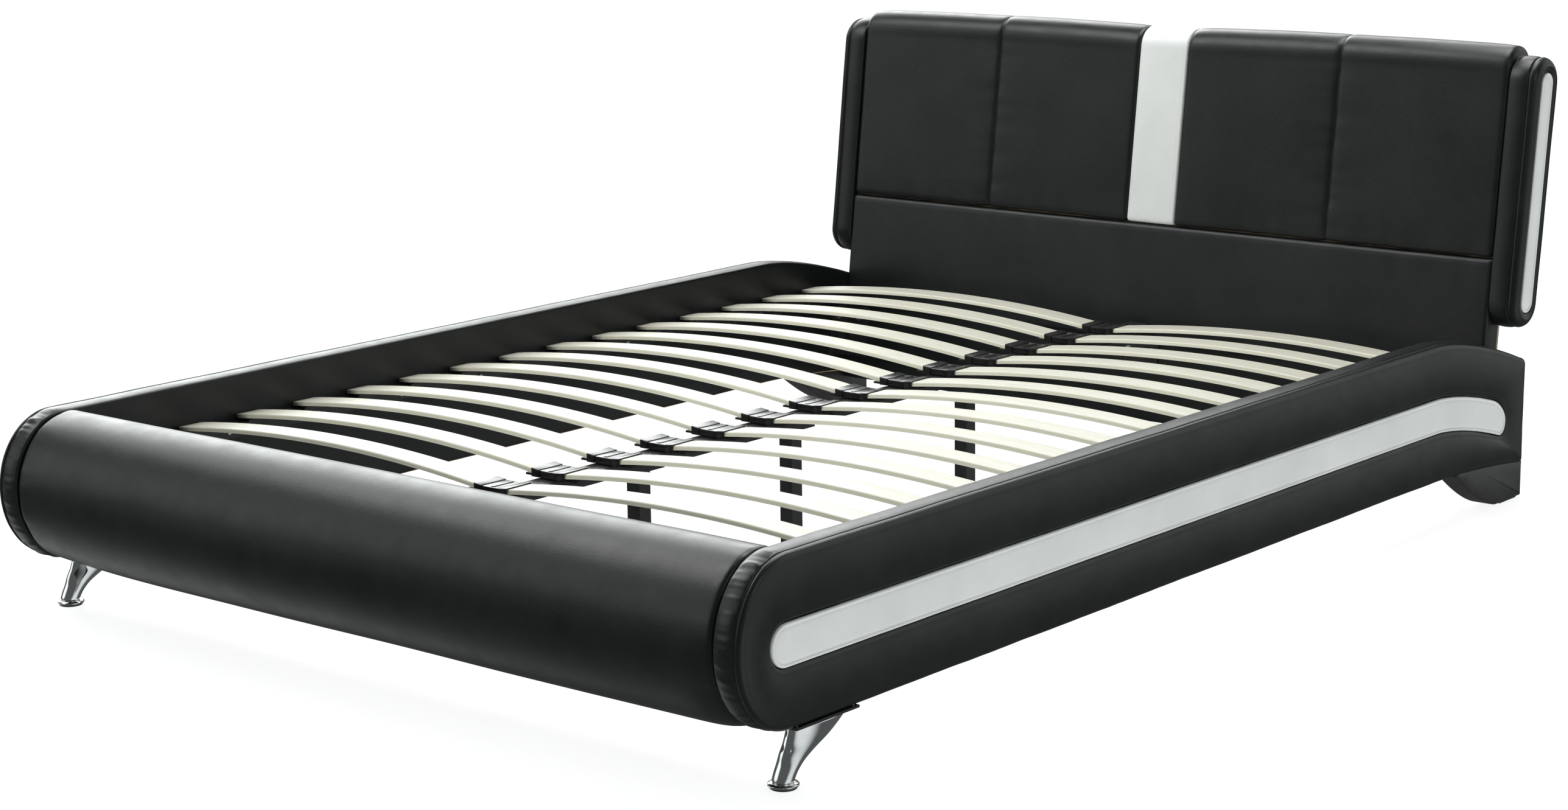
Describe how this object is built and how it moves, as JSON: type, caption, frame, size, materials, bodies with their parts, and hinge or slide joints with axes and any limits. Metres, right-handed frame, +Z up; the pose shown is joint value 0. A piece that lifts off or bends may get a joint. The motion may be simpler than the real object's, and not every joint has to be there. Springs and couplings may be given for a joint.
{
  "type": "sleigh bed",
  "caption": "Low upholstered platform bed with a padded roll foot, leaning padded headboard with side wings, striped side rails, bowed slats and chrome front legs.",
  "frame": {"origin": "middle of the bed's outline, at floor level", "axes": "+Z up, +Y from the foot end to the headboard, +X to the right of someone standing at the foot and facing the headboard"},
  "size_m": [1.648, 2.3799, 0.8493],
  "materials": {
    "black_leather": "black faux leather, semi-gloss, fine grain",
    "white_leather": "pearl white faux leather, satin",
    "board": "raw fibreboard and plywood",
    "slat_wood": "pale laminated birch, satin",
    "black_steel": "black powder coat",
    "zinc_steel": "zinc-plated fasteners",
    "chrome": "polished chrome plate",
    "black_plastic": "moulded black plastic",
    "dust_cloth": "black non-woven dust cloth"
  },
  "bodies": {
    "bed_frame": {"headboard_core": "board", "headboard_lower_pad": "black_leather", "headboard_upper_pad_left": "black_leather", "headboard_upper_pad_right": "black_leather", "headboard_centre_strip": "white_leather", "headboard_back_cover": "dust_cloth", "headboard_wing_left": "black_leather", "headboard_wing_right": "black_leather", "wing_inlay_left": "white_leather", "wing_inlay_right": "white_leather", "side_rail_core_left": "board", "side_rail_core_right": "board", "side_rail_cover_left": "black_leather", "side_rail_cover_right": "black_leather", "side_rail_stripe_left": "white_leather", "side_rail_stripe_right": "white_leather", "head_foot_left": "black_plastic", "head_foot_right": "black_plastic", "head_foot_pads": "black_plastic", "footboard_back_board": "board", "footboard_ribs": "board", "footboard_roll_pad": "black_leather", "front_leg_left": "chrome", "front_leg_right": "chrome", "leg_plates": "black_steel", "leg_plate_screws": "zinc_steel", "centre_rail": "black_steel", "centre_rail_brackets": "black_steel", "centre_leg_1": "black_steel", "centre_leg_2": "black_steel", "centre_leg_3": "black_steel", "centre_leg_bolts": "zinc_steel", "slat_ledge_left": "black_steel", "slat_ledge_right": "black_steel", "ledge_screws": "zinc_steel", "outer_slat_holders": "black_plastic", "centre_slat_caps": "black_plastic", "head_corner_brackets": "black_steel", "foot_corner_brackets": "black_steel", "bracket_bolts": "zinc_steel", "slat_row_01": "slat_wood", "slat_row_02": "slat_wood", "slat_row_03": "slat_wood", "slat_row_04": "slat_wood", "slat_row_05": "slat_wood", "slat_row_06": "slat_wood", "slat_row_07": "slat_wood", "slat_row_08": "slat_wood", "slat_row_09": "slat_wood", "slat_row_10": "slat_wood", "slat_row_11": "slat_wood", "slat_row_12": "slat_wood", "slat_row_13": "slat_wood", "slat_row_14": "slat_wood"},
    "leg_glide_left_body": {"leg_glide_left": "chrome"},
    "leg_glide_right_body": {"leg_glide_right": "chrome"},
    "centre_leg_glide_1_body": {"centre_leg_glide_1": "black_plastic"},
    "centre_leg_glide_2_body": {"centre_leg_glide_2": "black_plastic"},
    "centre_leg_glide_3_body": {"centre_leg_glide_3": "black_plastic"}
  },
  "joints": [
    {"name": "leg_glide_left_adjust", "type": "slide", "parent": "bed_frame", "child": "leg_glide_left_body", "axis": [0, 0, -1], "range_m": [0, 0.01]},
    {"name": "leg_glide_right_adjust", "type": "slide", "parent": "bed_frame", "child": "leg_glide_right_body", "axis": [0, 0, -1], "range_m": [0, 0.01]},
    {"name": "centre_leg_glide_1_adjust", "type": "slide", "parent": "bed_frame", "child": "centre_leg_glide_1_body", "axis": [0, 0, -1], "range_m": [0, 0.01]},
    {"name": "centre_leg_glide_2_adjust", "type": "slide", "parent": "bed_frame", "child": "centre_leg_glide_2_body", "axis": [0, 0, -1], "range_m": [0, 0.01]},
    {"name": "centre_leg_glide_3_adjust", "type": "slide", "parent": "bed_frame", "child": "centre_leg_glide_3_body", "axis": [0, 0, -1], "range_m": [0, 0.01]}
  ]
}
